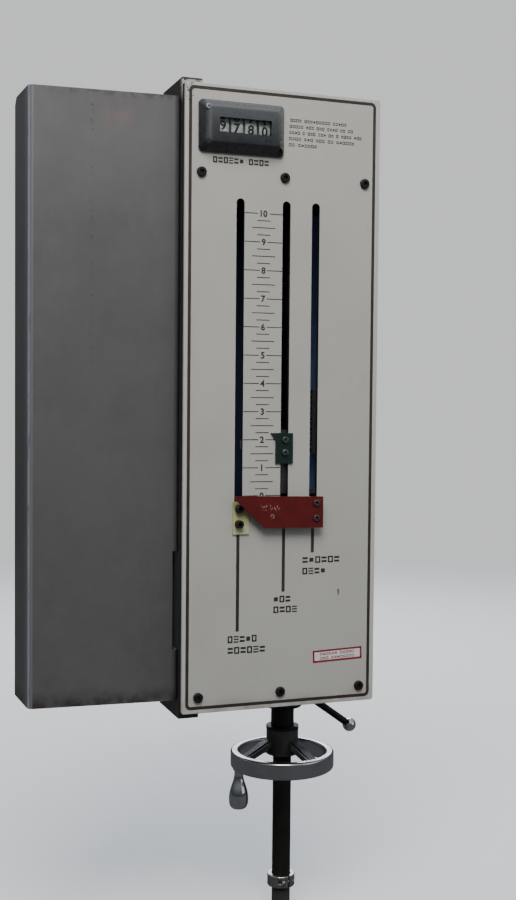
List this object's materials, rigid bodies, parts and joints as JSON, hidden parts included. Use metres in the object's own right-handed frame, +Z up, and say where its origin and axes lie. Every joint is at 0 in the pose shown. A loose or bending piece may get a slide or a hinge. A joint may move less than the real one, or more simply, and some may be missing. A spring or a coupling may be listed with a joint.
{
  "type": "press brake ram stop control unit",
  "caption": "Scaled face panel with red, yellow and green stops in slots, a number-wheel counter, a side guard, and a handwheel with crank and lock lever below",
  "frame": {"origin": "centre of the four mounting holes, on the back face of the mounting shell", "axes": "+X to the right of someone facing the panel, +Y into the machine, +Z up along the scale"},
  "size_m": [0.3392, 0.159, 0.792],
  "materials": {
    "cream_panel": "satin paint with printed lines",
    "black_rubber": "matt rubber sheet",
    "bar_steel": "mill steel with dirt and some rust",
    "machine_blue": "blue machine enamel",
    "guard_sheet": "dull rolled sheet steel",
    "black_oxide": "black oxide steel",
    "bronze": "turned bronze",
    "turned_steel": "turned steel",
    "polished_aluminium": "polished cast aluminium",
    "chrome_plate": "chrome plate",
    "counter_grey": "glossy dark grey",
    "case_grey": "dark grey enamel",
    "clear_window": "clear glass",
    "number_white": "white moulding with dark digits",
    "green_paint": "green enamel, chipped",
    "yellow_paint": "yellow enamel",
    "red_paint": "red enamel, chipped",
    "mill_aluminium": "machined aluminium",
    "switch_black": "moulded switch body",
    "roller_white": "nylon roller"
  },
  "bodies": {
    "housing": {"face_panel": "cream_panel", "panel_gasket": "black_rubber", "left_side_bar": "bar_steel", "upper_cross_bar": "bar_steel", "lower_cross_bar": "bar_steel", "mounting_shell": "machine_blue", "panel_screws": "black_oxide", "side_bar_screws": "black_oxide", "shell_screws": "black_oxide", "side_guard": "guard_sheet", "guard_screws": "black_oxide", "upper_bush": "bronze", "lower_bush": "bronze", "guide_rod": "turned_steel", "counter_bezel": "counter_grey", "bezel_screws": "black_oxide", "counter_window": "clear_window", "counter_case": "case_grey", "counter_axle": "turned_steel", "counter_gearbox": "case_grey", "terminal_strip": "switch_black"},
    "drive": {"lead_screw": "turned_steel", "drive_collar": "black_oxide", "handwheel": "polished_aluminium", "lower_shaft": "turned_steel", "split_collar": "turned_steel", "split_collar_screw": "black_oxide", "screw_mitre_gear": "turned_steel", "screw_stop_collar": "black_oxide", "crank_pin": "chrome_plate"},
    "grip": {"crank_grip": "chrome_plate"},
    "lock_lever": {"lock_nut": "black_oxide", "lock_lever_rod": "turned_steel", "lock_lever_ball": "chrome_plate"},
    "bottom_stop": {"bottom_stop_carriage": "mill_aluminium", "bottom_stop_nut": "bronze", "bottom_stop_flag": "red_paint", "bottom_stop_screws": "red_paint", "bottom_stop_switch": "switch_black"},
    "top_stop": {"top_stop_pointer": "green_paint", "top_stop_screws": "green_paint", "top_stop_carrier": "mill_aluminium", "top_stop_switch": "switch_black"},
    "speed_change": {"speed_change_pointer": "yellow_paint", "speed_change_screws": "black_oxide", "speed_change_carrier": "mill_aluminium", "speed_change_switch": "switch_black"},
    "counter_drive": {"counter_shaft": "turned_steel", "counter_mitre_gear": "turned_steel"},
    "thousands_wheel": {"number_wheel_thousands": "number_white"},
    "hundreds_wheel": {"number_wheel_hundreds": "number_white"},
    "tens_wheel": {"number_wheel_tens": "number_white"},
    "units_wheel": {"number_wheel_units": "number_white"},
    "top_lever": {"top_stop_switch_lever": "turned_steel"},
    "top_roller": {"top_stop_switch_roller": "roller_white"},
    "speed_lever": {"speed_change_switch_lever": "turned_steel"},
    "speed_roller": {"speed_change_switch_roller": "roller_white"},
    "bottom_lever": {"bottom_stop_switch_lever": "turned_steel"},
    "bottom_roller": {"bottom_stop_switch_roller": "roller_white"}
  },
  "joints": [
    {"name": "handwheel_turn", "type": "hinge", "parent": "housing", "child": "drive", "pos_m": [0.0307, -0.076, -0.34], "axis": [0, 0, -1], "range_deg": [0, 36000]},
    {"name": "grip_spin", "type": "hinge", "parent": "drive", "child": "grip", "pos_m": [-0.0143, -0.076, -0.376], "axis": [0, 0, 1], "continuous": true},
    {"name": "lock_lever_turn", "type": "hinge", "parent": "housing", "child": "lock_lever", "pos_m": [0.0307, -0.076, -0.287], "axis": [0, 0, 1], "range_deg": [-15, 45]},
    {"name": "bottom_stop_slide", "type": "slide", "parent": "housing", "child": "bottom_stop", "axis": [0, 0, 1], "range_m": [0, 0.254]},
    {"name": "top_stop_slide", "type": "slide", "parent": "housing", "child": "top_stop", "axis": [0, 0, 1], "range_m": [-0.065, 0.21]},
    {"name": "speed_change_slide", "type": "slide", "parent": "housing", "child": "speed_change", "axis": [0, 0, 1], "range_m": [-0.0015, 0.272]},
    {"name": "counter_input", "type": "hinge", "parent": "housing", "child": "counter_drive", "pos_m": [0.005, -0.076, 0.2427], "axis": [1, 0, 0], "range_deg": [0, 36000]},
    {"name": "thousands_turn", "type": "hinge", "parent": "housing", "child": "thousands_wheel", "pos_m": [-0.0608, -0.137, 0.2427], "axis": [1, 0, 0], "range_deg": [0, 360]},
    {"name": "hundreds_turn", "type": "hinge", "parent": "housing", "child": "hundreds_wheel", "pos_m": [-0.0478, -0.137, 0.2427], "axis": [1, 0, 0], "range_deg": [0, 3600]},
    {"name": "tens_turn", "type": "hinge", "parent": "housing", "child": "tens_wheel", "pos_m": [-0.0348, -0.137, 0.2427], "axis": [1, 0, 0], "range_deg": [0, 36000]},
    {"name": "units_turn", "type": "hinge", "parent": "housing", "child": "units_wheel", "pos_m": [-0.0218, -0.137, 0.2427], "axis": [1, 0, 0], "range_deg": [0, 360000]},
    {"name": "top_switch_lever_turn", "type": "hinge", "parent": "top_stop", "child": "top_lever", "pos_m": [-0.0104, -0.1079, -0.0409], "axis": [1, 0, 0], "range_deg": [-20, 20], "stiffness_Nm_per_rad": 0.05},
    {"name": "top_roller_spin", "type": "hinge", "parent": "top_lever", "child": "top_roller", "pos_m": [-0.0142, -0.0839, -0.0409], "axis": [1, 0, 0], "continuous": true},
    {"name": "speed_switch_lever_turn", "type": "hinge", "parent": "speed_change", "child": "speed_lever", "pos_m": [-0.0545, -0.1079, -0.1029], "axis": [1, 0, 0], "range_deg": [-20, 20], "stiffness_Nm_per_rad": 0.05},
    {"name": "speed_roller_spin", "type": "hinge", "parent": "speed_lever", "child": "speed_roller", "pos_m": [-0.0583, -0.0839, -0.1029], "axis": [1, 0, 0], "continuous": true},
    {"name": "bottom_switch_lever_turn", "type": "hinge", "parent": "bottom_stop", "child": "bottom_lever", "pos_m": [0.0202, -0.0412, -0.1025], "axis": [1, 0, 0], "range_deg": [-20, 20], "stiffness_Nm_per_rad": 0.05},
    {"name": "bottom_roller_spin", "type": "hinge", "parent": "bottom_lever", "child": "bottom_roller", "pos_m": [0.0164, -0.0172, -0.1025], "axis": [1, 0, 0], "continuous": true}
  ],
  "couplings": [
    {"joint": "bottom_stop_slide", "follows": "handwheel_turn", "m_per_rad": 0.00040425},
    {"joint": "counter_input", "follows": "handwheel_turn", "ratio": 1},
    {"joint": "thousands_turn", "follows": "handwheel_turn", "ratio": 0.01},
    {"joint": "hundreds_turn", "follows": "handwheel_turn", "ratio": 0.1},
    {"joint": "tens_turn", "follows": "handwheel_turn", "ratio": 1},
    {"joint": "units_turn", "follows": "handwheel_turn", "ratio": 10}
  ]
}
